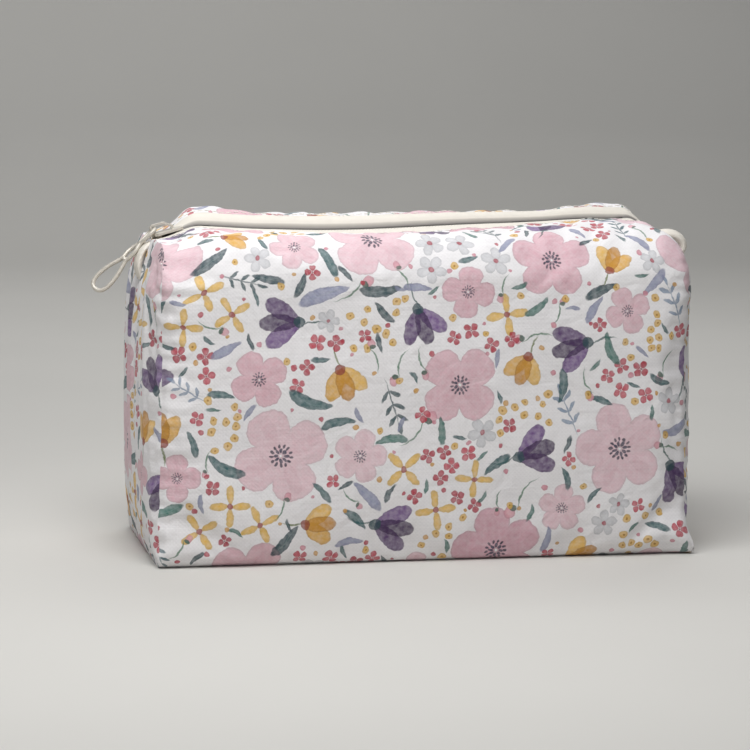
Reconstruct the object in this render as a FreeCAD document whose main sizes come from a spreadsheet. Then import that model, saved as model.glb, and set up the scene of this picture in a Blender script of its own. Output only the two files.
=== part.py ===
"""A boxy cotton makeup bag: padded, lined, and closed by a zip along its top.

Millimetres. +X runs along the zip to the right, the front faces -Y, +Z is up.
The origin is the middle of the base, on the surface that the bag stands on.
"""

import FreeCAD, Part
import math
import os
import Sketcher

DRIVING_SIZES = {
    "bag_width": 230.0,          # along the zip
    "bag_depth": 105.0,          # front to back
    "wall_height": 122.0,        # where the walls start to roll over into the top
    "top_height": 141.0,         # the flat top, beside the zip
    "shoulder_radius": 18.5,     # the roll between a wall and the top
    "outer_cloth": 0.8,          # printed cotton with its interfacing
    "wadding": 2.0,
    "lining": 0.5,
    "piece_gap": 0.3,            # air between pieces that move apart
    "mouth_half": 8.0,           # zip line to the sewn edge of the printed cloth
    "tape_half": 15.0,           # zip line to the hidden edge of a tape
    "tape_thickness": 0.5,
    "tape_split": 0.35,          # zip line to the woven edge of a tape
    "coil_half": 2.6,
    "coil_height": 2.0,
    "end_run": 20.0,             # length of zip that slopes down at each end
    "end_slope": 15.0,           # degrees
    "zip_end": 111.3,            # middle of the bag to the right end of the zip
    "zip_start": 106.8,          # middle of the bag to the left end of the zip
    "notch_half": 11.0,          # gap in the end panel's top edge, where the zip goes down
    "notch_floor": 125.0,
    "tab_half": 6.0,             # folded cloth tab over a zip end
    "tab_height": 8.0,
    "tab_reach_left": 3.0,
    "tab_reach_right": 10.0,
    "tab_base_left": 115.0,
    "tab_base_right": 129.5,
    "slider_length": 12.6,
    "slider_half": 4.5,
    "slider_tail_half": 3.9,
    "slider_plate": 1.2,
    "slider_fit": 0.35,          # air between the slider and what runs through it
    "slider_post_half": 1.4,
    "slider_post_length": 2.6,
    "bridge_half": 1.0,
    "bridge_bar": 1.0,
    "bridge_reach": 1.2,         # how far the bridge stands out past the nose
    "bridge_clear": 2.9,         # air under the bridge
    "bridge_back": 1.575,        # slider's middle to the bridge's rear foot
    "bridge_heel": 1.5,          # height at which the bridge leans forward
    "bridge_crook": 1.4,         # slider's middle to the inner bend under the bridge
    "post_clear": 1.05,          # the post leans towards the zip, so it stands well clear of it
    "bar_clear_ahead": 0.117,    # air between the pull's crossbar and the bridge
    "bar_clear_above": 0.175,
    "pull_wire": 1.8,
    "pull_length": 37.0,
    "pull_eye_half": 3.2,
    "pull_eye_length": 6.6,
    "pull_neck_half": 2.5,
    "pull_neck_start": 9.0,
    "pull_neck_end": 17.5,
    "pull_loop_half": 4.7,
    "pull_droop": 45.0,          # degrees below level, hanging over the end of the bag
}


class Size:
    """A length with the spreadsheet expression that gives it."""

    def __init__(self, value, text):
        self.value = value
        self.text = text

    def _join(self, other, sign, value):
        text = other.text if isinstance(other, Size) else repr(float(other))
        return Size(value, f"({self.text} {sign} {text})")

    def __add__(self, other):
        return self._join(other, "+", self.value + number(other))

    def __sub__(self, other):
        return self._join(other, "-", self.value - number(other))

    def __mul__(self, other):
        return self._join(other, "*", self.value * number(other))

    def __truediv__(self, other):
        return self._join(other, "/", self.value / number(other))

    def __neg__(self):
        return Size(-self.value, f"(0 - {self.text})")


def number(size):
    return size.value if isinstance(size, Size) else float(size)


def sine(angle):
    return Size(math.sin(math.radians(angle.value)), f"sin({angle.text})")


def cosine(angle):
    return Size(math.cos(math.radians(angle.value)), f"cos({angle.text})")


def write_sheet(document):
    """Puts the driving sizes in the sheet and returns them by name."""
    sheet = document.addObject("Spreadsheet::Sheet", "Sizes")
    sizes = {}
    for row, (name, value) in enumerate(DRIVING_SIZES.items(), start=1):
        sheet.set(f"A{row}", name)
        sheet.set(f"B{row}", str(value))
        sheet.setAlias(f"B{row}", name)
        sizes[name] = Size(value, f"Sizes.{name}")
    document.recompute()
    return sizes


doc = FreeCAD.newDocument("makeup_bag")
size = write_sheet(doc)
ZERO = Size(0.0, "0")

# Places that several pieces share, measured from the middle of the base.
half_width = size["bag_width"] / 2
half_depth = size["bag_depth"] / 2
wall_layers = size["outer_cloth"] + size["wadding"] + size["lining"]
cavity_half_width = half_width - wall_layers
shoulder_centre = half_depth - size["shoulder_radius"]
shoulder_level = size["top_height"] - size["shoulder_radius"]
tape_top = size["top_height"] - size["outer_cloth"]
coil_top = tape_top - size["tape_thickness"]
slope_start = size["zip_end"] - size["end_run"]


def new_body(label):
    body = doc.addObject("PartDesign::Body", label)
    body.Label = label
    return body


def origin_plane(body, role):
    return next(f for f in body.Origin.OriginFeatures if f.Role == role)


def draw_loop(sketch, corners):
    """Draws a closed outline whose corners are held by the sheet.

    A corner is (x, y) for a straight run to the next one, or (x, y, radius) for an arc to it:
    a positive radius bulges to the right of the direction of travel, a negative one to the left.
    """
    first_edge = sketch.GeometryCount
    count = len(corners)
    for i, corner in enumerate(corners):
        following = corners[(i + 1) % count]
        start = FreeCAD.Vector(corner[0].value, corner[1].value, 0)
        end = FreeCAD.Vector(following[0].value, following[1].value, 0)
        if len(corner) == 2:
            sketch.addGeometry(Part.LineSegment(start, end), False)
            continue
        radius = abs(number(corner[2]))
        chord = end - start
        sag = radius - math.sqrt(max(radius ** 2 - (chord.Length / 2) ** 2, 0.0))
        right = FreeCAD.Vector(chord.y, -chord.x, 0).normalize()
        side = 1.0 if number(corner[2]) > 0 else -1.0
        middle = (start + end) * 0.5 + right * (sag * side)
        sketch.addGeometry(Part.Arc(start, middle, end), False)
    for i, corner in enumerate(corners):
        edge = first_edge + i
        hold_corner(sketch, edge, corner, counter_clockwise(sketch, edge, corner))
        if len(corner) == 3:
            radius = corner[2] if number(corner[2]) > 0 else -corner[2]
            held = sketch.addConstraint(Sketcher.Constraint("Radius", edge, radius.value))
            sketch.setExpression(f"Constraints[{held}]", radius.text)
    for i, corner in enumerate(corners):
        edge = first_edge + i
        after = first_edge + (i + 1) % count
        end_point = 2 if counter_clockwise(sketch, edge, corner) else 1
        start_point = 1 if counter_clockwise(sketch, after, corners[(i + 1) % count]) else 2
        sketch.addConstraint(Sketcher.Constraint("Coincident", edge, end_point, after, start_point))


def counter_clockwise(sketch, edge, corner):
    """An arc's first point is where its travel starts only if it turns counter-clockwise."""
    if len(corner) == 2:
        return True
    start = sketch.getPoint(edge, 1)
    return abs(start.x - corner[0].value) + abs(start.y - corner[1].value) < 1e-6


def hold_corner(sketch, edge, corner, starts_here):
    point = 1 if starts_here else 2
    for kind, place in (("DistanceX", corner[0]), ("DistanceY", corner[1])):
        held = sketch.addConstraint(Sketcher.Constraint(kind, -1, 1, edge, point, place.value))
        sketch.setExpression(f"Constraints[{held}]", place.text)


def pad(body, name, plane, loops, low, high):
    """Extrudes outlines from low to high along X (plane YZ), Y (plane XZ) or Z (plane XY)."""
    sketch = body.newObject("Sketcher::SketchObject", f"{body.Name}_{name}_outline")
    sketch.AttachmentSupport = (origin_plane(body, f"{plane}_Plane"), [""])
    sketch.MapMode = "FlatFace"
    away = plane == "XZ"          # this plane's own normal is -Y
    sketch.setExpression(".AttachmentOffset.Base.z", (-low).text if away else low.text)
    for corners in loops:
        draw_loop(sketch, corners)
    feature = body.newObject("PartDesign::Pad", f"{body.Name}_{name}")
    feature.Profile = sketch
    feature.Reversed = away
    feature.setExpression("Length", (high - low).text)
    sketch.Visibility = False
    doc.recompute()
    return feature


def round_edges(body, base, radius, chosen):
    """Rounds the edges of the last feature that the test picks."""
    names = [f"Edge{i}" for i, edge in enumerate(base.Shape.Edges, start=1) if chosen(edge)]
    fillet = body.newObject("PartDesign::Fillet", f"{body.Name}_rounded_edges")
    fillet.Base = (base, names)
    fillet.setExpression("Radius", radius.text)
    doc.recompute()
    return fillet


def rectangle(left, bottom, right, top):
    return [(left, bottom), (right, bottom), (right, top), (left, top)]


def end_outline(inset, notch_wider):
    """The end of the bag seen along X: two rolled top corners, and a gap for the zip."""
    side = half_depth - size["outer_cloth"] - inset
    roll = size["shoulder_radius"] - size["outer_cloth"] - size["lining"] - size["piece_gap"] - inset
    ledge = shoulder_centre + roll
    top = shoulder_level + roll
    notch = size["notch_half"] + notch_wider
    ramp = notch + size["tab_half"]
    base = size["outer_cloth"] + inset
    return [
        (-side, base),
        (side, base),
        (side, size["wall_height"]),
        (ledge, shoulder_level, roll),
        (shoulder_centre, top),
        (ramp, top),
        (notch, size["notch_floor"]),
        (-notch, size["notch_floor"]),
        (-ramp, top),
        (-shoulder_centre, top, roll),
        (-ledge, shoulder_level),
        (-side, size["wall_height"]),
    ]


def make_wall(label, direction, near, far, reach, base):
    """A front or back layer: flat cloth between two distances from the middle."""
    body = new_body(label)
    low, high = (near, far) if direction > 0 else (-far, -near)
    pad(body, "cloth", "XZ", [rectangle(-reach, base, reach, size["wall_height"])], low, high)


def make_end(label, direction, near, far, inset):
    body = new_body(label)
    low, high = (near, far) if direction > 0 else (-far, -near)
    pad(body, "cloth", "YZ", [end_outline(inset, inset)], low, high)


def make_floor(label, reach_x, reach_y, low, high):
    body = new_body(label)
    pad(body, "cloth", "XY", [rectangle(-reach_x, -reach_y, reach_x, reach_y)], low, high)


def make_layers():
    """Printed cotton, wadding and lining: five panels of each."""
    outer, wadding, lining = size["outer_cloth"], size["wadding"], size["lining"]
    padding_face = half_depth - outer
    lining_face = padding_face - wadding
    for name, direction in (("front", -1), ("back", 1)):
        make_wall(f"outer_{name}_panel", direction, padding_face, half_depth, half_width, ZERO)
        make_wall(f"wadding_{name}", direction, lining_face, padding_face, cavity_half_width,
                  outer + wadding)
        make_wall(f"lining_{name}", direction, lining_face - lining, lining_face,
                  cavity_half_width, outer + wadding)
    end_wadding = half_width - outer
    end_lining = end_wadding - wadding
    for name, direction in (("left", -1), ("right", 1)):
        make_end(f"outer_{name}_end", direction, end_wadding, half_width, ZERO)
        make_end(f"wadding_{name}", direction, end_lining, end_wadding, size["piece_gap"])
        make_end(f"lining_{name}", direction, cavity_half_width, end_lining, size["piece_gap"])
    base_reach = end_lining - lining
    make_floor("outer_base_panel", end_wadding, padding_face, ZERO, outer)
    make_floor("wadding_base", base_reach, padding_face, outer, outer + wadding)
    make_floor("lining_base", base_reach, lining_face - lining, outer + wadding,
               outer + wadding + lining)


def quarter_roll(direction, outer_radius, thickness):
    """A quarter turn of cloth round the shoulder, seen along X."""
    inner_radius = outer_radius - thickness
    centre = shoulder_centre
    if direction > 0:
        return [
            (centre + inner_radius, shoulder_level),
            (centre + outer_radius, shoulder_level, outer_radius),
            (centre, shoulder_level + outer_radius),
            (centre, shoulder_level + inner_radius, -inner_radius),
        ]
    return [
        (-centre, shoulder_level + inner_radius),
        (-centre, shoulder_level + outer_radius, outer_radius),
        (-centre - outer_radius, shoulder_level),
        (-centre - inner_radius, shoulder_level, -inner_radius),
    ]


def make_shoulders():
    """The cloth that rolls over the top edges, and unrolls when the mouth opens."""
    reach = half_width - size["piece_gap"]
    for name, direction in (("front", -1), ("back", 1)):
        radius = size["shoulder_radius"]
        body = new_body(f"outer_{name}_shoulder")
        pad(body, "roll", "YZ", [quarter_roll(direction, radius, size["outer_cloth"])], -reach, reach)
        radius = radius - size["outer_cloth"]
        body = new_body(f"lining_{name}_shoulder")
        pad(body, "roll", "YZ", [quarter_roll(direction, radius, size["lining"])], -reach, reach)


def sloping_band(low, high):
    """A strip along the zip seen from the front: level, then sloping down at both ends."""
    left_run = size["zip_start"] - slope_start
    right_run = size["end_run"]
    tilt = sine(size["end_slope"]) / cosine(size["end_slope"])
    left_drop = left_run * tilt
    right_drop = right_run * tilt
    return [
        (-size["zip_start"], low - left_drop),
        (-slope_start, low),
        (slope_start, low),
        (size["zip_end"], low - right_drop),
        (size["zip_end"], high - right_drop),
        (slope_start, high),
        (-slope_start, high),
        (-size["zip_start"], high - left_drop),
    ]


def make_top(name, direction):
    """One side of the top: printed cotton, lining, zip tape and zip coil."""
    reach = half_width - size["piece_gap"]
    hinge_side = shoulder_centre - size["piece_gap"]

    def across(near, far):
        return (near, far) if direction > 0 else (-far, -near)

    body = new_body(f"outer_top_{name}")
    low, high = across(size["mouth_half"], hinge_side)
    pad(body, "cloth", "XZ", [rectangle(-reach, tape_top, reach, size["top_height"])], low, high)

    body = new_body(f"lining_top_{name}")
    low, high = across(size["tape_half"] + size["piece_gap"], hinge_side)
    pad(body, "cloth", "XZ", [rectangle(-reach, tape_top - size["lining"], reach, tape_top)], low, high)

    body = new_body(f"zip_tape_{name}")
    low, high = across(size["tape_split"], size["tape_half"])
    pad(body, "tape", "XZ", [sloping_band(coil_top, tape_top)], low, high)

    body = new_body(f"zip_coil_{name}")
    low, high = across(size["tape_split"], size["coil_half"])
    pad(body, "coil", "XZ", [sloping_band(coil_top - size["coil_height"], coil_top)], low, high)


def make_tab(name, direction, reach, base):
    """A folded tab of cloth sewn over a zip end, standing out from the end panel."""
    body = new_body(f"zip_tab_{name}")
    low, high = (half_width, half_width + reach) if direction > 0 else (-half_width - reach, -half_width)
    outline = rectangle(-size["tab_half"], base, size["tab_half"], base + size["tab_height"])
    tab = pad(body, "cloth", "YZ", [outline], low, high)
    far_face = high.value if direction > 0 else low.value
    round_edges(body, tab, size["tab_half"] / 5,
                lambda edge: abs(edge.CenterOfMass.x - far_face) < 1e-3)


def slider_outline(nose, tail):
    """The slider's plates seen from above: wide shoulders near the nose, tapering to the tail."""
    wide, narrow = size["slider_half"], size["slider_tail_half"]
    chamfer = size["slider_plate"]
    return [
        (nose, -wide + chamfer),
        (nose + chamfer, -wide),
        (tail - chamfer, -narrow),
        (tail, -narrow + chamfer),
        (tail, narrow - chamfer),
        (tail - chamfer, narrow),
        (nose + chamfer, wide),
        (nose, wide - chamfer),
    ]


def make_slider():
    """Two plates joined by a post, with the bridge that carries the pull. Its own origin is on
    the tape's face, so the tape and coil run through it with air all round."""
    nose = -size["slider_length"] / 2
    tail = size["slider_length"] / 2
    plate, fit = size["slider_plate"], size["slider_fit"]
    roof = fit
    roof_top = roof + plate
    floor_top = -size["tape_thickness"] - size["coil_height"] - fit
    floor = floor_top - plate
    body = new_body("slider_body")

    post_half = size["slider_post_half"]
    post_start = nose + fit
    post = rectangle(post_start, -post_half, post_start + size["slider_post_length"], post_half)
    pad(body, "post", "XY", [post], floor, roof_top)
    pad(body, "top_plate", "XY", [slider_outline(nose, tail)], roof, roof_top)
    pad(body, "bottom_plate", "XY", [slider_outline(nose, tail)], floor, floor_top)

    rail_in = size["coil_half"] + fit
    rail_out = size["slider_tail_half"] - fit
    rail_top = -size["tape_thickness"] - fit
    for side, low, high in (("front", -rail_out, -rail_in), ("back", rail_in, rail_out)):
        rail = rectangle(ZERO - fit, low, tail - plate, high)
        pad(body, f"{side}_rail", "XY", [rail], floor, rail_top)

    half, bar = size["bridge_half"], size["bridge_bar"]
    foot = rectangle(nose - size["bridge_reach"], -half, nose + plate, half)
    pad(body, "tongue", "XY", [foot], roof, roof_top)
    window_left = nose - size["bridge_reach"] + bar
    window_right = size["bridge_back"]
    ceiling = roof_top + size["bridge_clear"]
    outside = [
        (window_left - bar, roof),
        (window_right + bar, roof),
        (window_right + bar, roof_top + size["bridge_heel"]),
        (ZERO - bar, ceiling + bar),
        (window_left, ceiling + bar),
        (window_left - bar, ceiling),
    ]
    inside = [
        (window_left, roof_top),
        (window_right, roof_top),
        (window_right, roof_top + bar),
        (-size["bridge_crook"], ceiling),
        (window_left, ceiling),
    ]
    pad(body, "bridge", "XZ", [outside, inside], -half, half)

    centre_x = -size["zip_start"] - nose - fit - size["slider_post_length"] - size["post_clear"]
    place_on_slope(body, centre_x)
    return centre_x, window_left, ceiling


def place_on_slope(body, centre_x):
    """Sets the slider on the sloping left end of the zip, level with the tape's face."""
    tilt = sine(size["end_slope"]) / cosine(size["end_slope"])
    centre_z = tape_top + (centre_x + slope_start) * tilt
    body.Placement = FreeCAD.Placement(
        FreeCAD.Vector(centre_x.value, 0, centre_z.value),
        FreeCAD.Rotation(FreeCAD.Vector(0, 1, 0), -size["end_slope"].value),
    )
    body.setExpression(".Placement.Base.x", centre_x.text)
    body.setExpression(".Placement.Base.z", centre_z.text)


def pull_outline():
    """The pull from above: two arms of an open eye, a neck and a teardrop loop. The crossbar that
    closes the eye is round, and lies at the origin."""
    wire = size["pull_wire"]
    eye, neck, loop = size["pull_eye_half"], size["pull_neck_half"], size["pull_loop_half"]
    eye_end = size["pull_eye_length"]
    belly = size["pull_length"] - loop
    return [
        (ZERO, -eye),
        (eye_end, -eye),
        (size["pull_neck_start"], -neck),
        (size["pull_neck_end"], -neck),
        (belly, -loop, loop),
        (size["pull_length"], ZERO, loop),
        (belly, loop),
        (size["pull_neck_end"], neck),
        (size["pull_neck_start"], neck),
        (eye_end, eye),
        (ZERO, eye),
        (ZERO, eye - wire),
        (eye_end, eye - wire),
        (eye_end, wire - eye),
        (ZERO, wire - eye),
    ]


def pull_windows():
    """The slot in the neck and the finger loop."""
    wire = size["pull_wire"]
    slot = size["pull_neck_half"] - wire
    loop = size["pull_loop_half"] - wire
    web = wire / 2
    belly = size["pull_length"] - size["pull_loop_half"]
    yield rectangle(size["pull_neck_start"], -slot, size["pull_neck_end"] - web, slot)
    yield [
        (size["pull_neck_end"] + web, -slot),
        (belly, -loop, loop),
        (belly + loop, ZERO, loop),
        (belly, loop),
        (size["pull_neck_end"] + web, slot),
    ]


def circle(radius):
    """A round outline about the origin, as four arcs."""
    return [
        (radius, ZERO, radius),
        (ZERO, radius, radius),
        (-radius, ZERO, radius),
        (ZERO, -radius, radius),
    ]


def make_pull(slider_x, window_left, ceiling):
    """The wire pull, hanging from the slider's bridge over the left end of the bag."""
    body = new_body("pull_loop")
    half = size["pull_wire"] / 2
    pad(body, "wire", "XY", [pull_outline(), *pull_windows()], -half, half)
    pad(body, "crossbar", "XZ", [circle(half)], -size["pull_eye_half"], size["pull_eye_half"])

    # The crossbar's middle, in the slider's own frame and then in the bag's.
    bar_x = window_left + half + size["bar_clear_ahead"]
    bar_z = ceiling - half - size["bar_clear_above"]
    along, up = cosine(size["end_slope"]), sine(size["end_slope"])
    tilt = up / along
    slider_z = tape_top + (slider_x + slope_start) * tilt
    pivot_x = slider_x + bar_x * along - bar_z * up
    pivot_z = slider_z + bar_x * up + bar_z * along
    body.Placement = FreeCAD.Placement(
        FreeCAD.Vector(pivot_x.value, 0, pivot_z.value),
        FreeCAD.Rotation(FreeCAD.Vector(0, 1, 0), 180.0 - size["pull_droop"].value),
    )
    body.setExpression(".Placement.Base.x", pivot_x.text)
    body.setExpression(".Placement.Base.z", pivot_z.text)
    return pivot_x, pivot_z


def check_and_export():
    bodies = [o for o in doc.Objects if o.TypeId == "PartDesign::Body"]
    for item in doc.Objects:
        if {"Invalid", "Error"} & set(item.State):
            raise RuntimeError(f"{item.Label} did not build: {item.State}")
    for body in bodies:
        if body.Shape.isNull() or not body.Shape.isValid() or not body.Shape.Solids:
            raise RuntimeError(f"{body.Label} is not a valid solid")
    os.makedirs("parts", exist_ok=True)
    for body in bodies:
        body.Shape.exportStep(f"parts/{body.Label}.step")
    print(f"{len(bodies)} pieces")


make_layers()
make_shoulders()
for half_name, half_direction in (("front", -1), ("back", 1)):
    make_top(half_name, half_direction)
make_tab("left", -1, size["tab_reach_left"], size["tab_base_left"])
make_tab("right", 1, size["tab_reach_right"], size["tab_base_right"])
slider_place, bridge_window, bridge_ceiling = make_slider()
pull_x, pull_z = make_pull(slider_place, bridge_window, bridge_ceiling)
doc.recompute()
check_and_export()
print(f"slider middle x {slider_place.value:.3f}")
print(f"pull pivot x {pull_x.value:.3f} z {pull_z.value:.3f}")
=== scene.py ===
"""A padded makeup bag in flowered cotton, with a coil zip across its domed top and a wire loop pull."""

import math
from contextlib import contextmanager

import bmesh
import bpy
import numpy as np
from mathutils import Matrix, Vector


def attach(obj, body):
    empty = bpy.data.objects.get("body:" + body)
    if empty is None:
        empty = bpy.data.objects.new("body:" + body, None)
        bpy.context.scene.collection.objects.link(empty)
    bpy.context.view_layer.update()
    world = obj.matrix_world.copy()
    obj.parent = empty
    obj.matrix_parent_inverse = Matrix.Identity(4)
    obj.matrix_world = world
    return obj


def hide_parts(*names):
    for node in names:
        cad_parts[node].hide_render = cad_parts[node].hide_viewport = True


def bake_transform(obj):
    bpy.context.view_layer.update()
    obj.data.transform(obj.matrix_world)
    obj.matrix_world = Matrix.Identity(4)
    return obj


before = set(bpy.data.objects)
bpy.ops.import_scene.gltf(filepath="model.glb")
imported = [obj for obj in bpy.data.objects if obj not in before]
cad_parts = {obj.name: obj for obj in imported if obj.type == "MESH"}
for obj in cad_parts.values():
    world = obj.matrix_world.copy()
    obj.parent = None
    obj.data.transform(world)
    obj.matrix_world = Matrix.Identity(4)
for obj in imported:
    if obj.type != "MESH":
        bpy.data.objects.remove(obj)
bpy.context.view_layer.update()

bl_info = {
    "name": "Flowered Makeup Bag",
    "version": (1, 0, 0),
    "blender": (4, 5, 0),
    "location": "3D View > Sidebar > Makeup Bag",
    "description": "Builds a padded cotton makeup bag with a working zip round its packed frame",
    "category": "Add Mesh",
}

MM = 0.001
FLAPS = {"front": -1, "back": 1}
SIDES = {"left": -1, "right": 1}

# Rows of the outline, from the zip down the front, under the base and up the back to the zip.
TAPE_ROWS, TOP_ROWS, SHOULDER_ROWS, WALL_ROWS, CORNER_ROWS, BASE_ROWS = 6, 18, 20, 80, 8, 30
COLUMNS = 160
TOP_START = TAPE_ROWS
WALL_START = TOP_START + TOP_ROWS + SHOULDER_ROWS
HALF_ROWS = WALL_START + WALL_ROWS + CORNER_ROWS + BASE_ROWS
LAST_ROW = 2 * HALF_ROWS
END_FOOT = WALL_START + WALL_ROWS + CORNER_ROWS // 2
END_HEAD = WALL_START - SHOULDER_ROWS // 2

# Half widths of the print's stems, twigs and leaf ribs, in mm.
STEM, TWIG, RIB = 0.5, 0.42, 0.22
# The print: how many brush marks may lie over each other, numbers per mark, and the size of one repeat in mm.
LAYERS = 6
MARK_VALUES = 13
MARK_PARTS = ("place", "shape", "fan", "ink")
REPEAT = np.array((240.0, 180.0))

# Thicknesses of the lining and of the zip tape, in mm.
LINING, TAPE_THICKNESS = 0.5, 0.5


def linear(code):
    """A colour written as an sRGB hex code, as linear red, green and blue."""
    parts = [int(code[i:i + 2], 16) / 255 for i in (1, 3, 5)]
    return tuple(c / 12.92 if c <= 0.04045 else ((c + 0.055) / 1.055) ** 2.4 for c in parts)


def smooth(t):
    """0 below 0, 1 above 1, with an even ease between."""
    t = np.clip(t, 0, 1)
    return t * t * (3 - 2 * t)


def hump(t):
    """1 at 0, falling evenly to 0 at -1 and 1."""
    return smooth(1 - np.abs(t))


# ---------------------------------------------------------------- the user's sizes and colours


def length(name, description, default):
    """A length in metres that the user may change."""
    return bpy.props.FloatProperty(name=name, description=description, default=default, unit="LENGTH")


def colour(name, description, code):
    """A colour, given as an sRGB hex code, that the user may change."""
    return bpy.props.FloatVectorProperty(
        name=name, description=description, default=linear(code), subtype="COLOR", min=0, max=1)


class BagSizes(bpy.types.PropertyGroup):
    half_length: length("Half length", "From the middle to an end seam", 0.115)
    half_depth: length("Half depth", "From the zip to the front or back face", 0.0525)
    wall_height: length("Wall height", "Height at which the shoulders begin", 0.1225)
    shoulder: length("Shoulder radius", "Radius of the rounded top edges", 0.0185)
    mouth: length("Half mouth", "From the zip's middle to the cotton's edge", 0.008)
    cloth: length("Cotton thickness", "Thickness of the printed cotton", 0.0006)
    wadding: length("Wadding thickness", "Thickness of the padding", 0.0019)
    tooth_pitch: length("Coil pitch", "Distance between coil turns", 0.0014)
    stitch_pitch: length("Stitch length", "Distance between stitches", 0.0032)
    wire: length("Pull wire", "Diameter of the pull's wire", 0.0018)


class BagColours(bpy.types.PropertyGroup):
    cotton: colour("Cotton", "Ground colour of the printed cotton", "#F2F0F0")
    lining: colour("Lining", "Colour of the plain lining", "#EFEAE0")
    tape: colour("Zip tape", "Colour of the zip's tape", "#E9E3D8")
    coil: colour("Zip coil", "Colour of the nylon coil", "#B9B4AA")
    metal: colour("Slider and pull", "Colour of the enamel", "#CFC9BD")


# ---------------------------------------------------------------- meshes


def new_mesh(name, points, faces, edges=()):
    """A mesh from points in mm."""
    mesh = bpy.data.meshes.new(name)
    mesh.from_pydata((np.asarray(points) * MM).tolist(), list(edges), faces)
    return mesh


@contextmanager
def reshaped(mesh):
    """Opens a mesh for editing, then turns its faces outward and puts it back."""
    shaped = bmesh.new()
    shaped.from_mesh(mesh)
    yield shaped
    bmesh.ops.recalc_face_normals(shaped, faces=shaped.faces)
    shaped.to_mesh(mesh)
    shaped.free()


def add_values(mesh, name, kind, domain, values):
    """Stores a named vector or colour on each point or face."""
    made = mesh.attributes.new(name, kind, domain)
    made.data.foreach_set("color" if kind == "FLOAT_COLOR" else "vector", values.astype(np.float32).ravel())


def build_object(name, mesh):
    """A new object in the scene for a mesh made in metres."""
    made = bpy.data.objects.new(name, mesh)
    bpy.context.scene.collection.objects.link(made)
    return made


# ---------------------------------------------------------------- the shell


def outline(sizes):
    """Half of the cross section as (y, z) in mm for the front, from the zip to the base's middle."""
    depth, wall = sizes.half_depth / MM, sizes.wall_height / MM
    radius, mouth, foot = sizes.shoulder / MM, sizes.mouth / MM, 7.0
    top = wall + radius
    rows = [(-mouth * i / TAPE_ROWS, top) for i in range(TAPE_ROWS)]
    rows += [(-mouth - (depth - radius - mouth) * i / TOP_ROWS, top) for i in range(TOP_ROWS)]
    for i in range(SHOULDER_ROWS):
        angle = math.pi / 2 * i / SHOULDER_ROWS
        rows.append((-(depth - radius) - radius * math.sin(angle), wall + radius * math.cos(angle)))
    rows += [(-depth, wall - (wall - foot) * i / WALL_ROWS) for i in range(WALL_ROWS)]
    for i in range(CORNER_ROWS):
        angle = math.pi / 2 * i / CORNER_ROWS
        rows.append((-(depth - foot) - foot * math.cos(angle), foot - foot * math.sin(angle)))
    rows += [(-(depth - foot) * (1 - i / BASE_ROWS), 0.0) for i in range(BASE_ROWS + 1)]
    return np.array(rows)


def make_shell(sizes):
    """The cotton's outer face as rows by columns of points in mm, and its cloth coordinates."""
    front = outline(sizes)
    back = front[-2::-1] * (-1, 1)
    ring = np.vstack((front, back))
    steps = np.hypot(*np.diff(ring, axis=0).T)
    run = np.concatenate(((0,), np.cumsum(steps)))
    length = sizes.half_length / MM
    across = np.linspace(-length, length, COLUMNS + 1)
    x = np.repeat(across[None, :], len(ring), 0)
    y = np.repeat(ring[:, :1], COLUMNS + 1, 1)
    z = np.repeat(ring[:, 1:], COLUMNS + 1, 1)
    cloth = np.dstack((x, (run[END_FOOT] - run)[:, None] + 0 * x))
    near_end = np.where(x < 0, smooth((-x - 93) / 22), np.clip((x - 102) / 13, 0, 1) ** 1.8)
    height = smooth((z - 100) / 41)
    z = z - 6.5 * near_end * height
    # The dome leans back: it's highest behind the zip, and a little higher near its two ends.
    crest = 10 + 7 * hump((x + 95) / 42) + 3 * hump((x - 95) / 30)
    crown = hump(np.where(y < crest, (crest - y) / (crest + 7), (y - crest) / (34 - crest))) * (z > 120)
    swell = 4.2 + 2.0 * hump((x + 90) / 26) + 3.2 * hump((x - 92) / 34) - 1.0 * hump((x + 35) / 70)
    z = z + crown * swell * (1 - near_end)
    # The zip sags left of the middle and rides up towards its right end.
    sag = 4.4 * hump((x + 28) / 110) - 2.0 * hump((x - 90) / 50)
    z = z - sag * hump(np.where(y < -12, (y + 12) / 34, (y + 12) / 26)) * (z > 118) * (1 - near_end)
    # The upright edges are rounded and the faces fill out a little between them.
    rounding = np.clip((np.abs(x) - (length - 5)) / 5, 0, 1)
    tuck = 4.0 * (1 - np.sqrt(1 - rounding ** 2 * 0.96))
    upright = smooth((z - 1) / 10) * np.clip(np.abs(y) / 45, 0, 1)
    fill = 1.6 * hump(x / 118) * hump((z - 66) / 74) * np.clip((np.abs(y) - 45) / 7, 0, 1)
    y = y + np.sign(y) * (fill - tuck * upright)
    # Both ends lean in towards the top, where nothing inside holds them out.
    x = x - np.where(x < 0, -3.6, 2.0) * smooth((z - 104) / 38) * smooth((np.abs(x) - 66) / 48)
    shell = np.dstack((x, y, z))
    return crease_shell(shell, length), cloth


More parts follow.
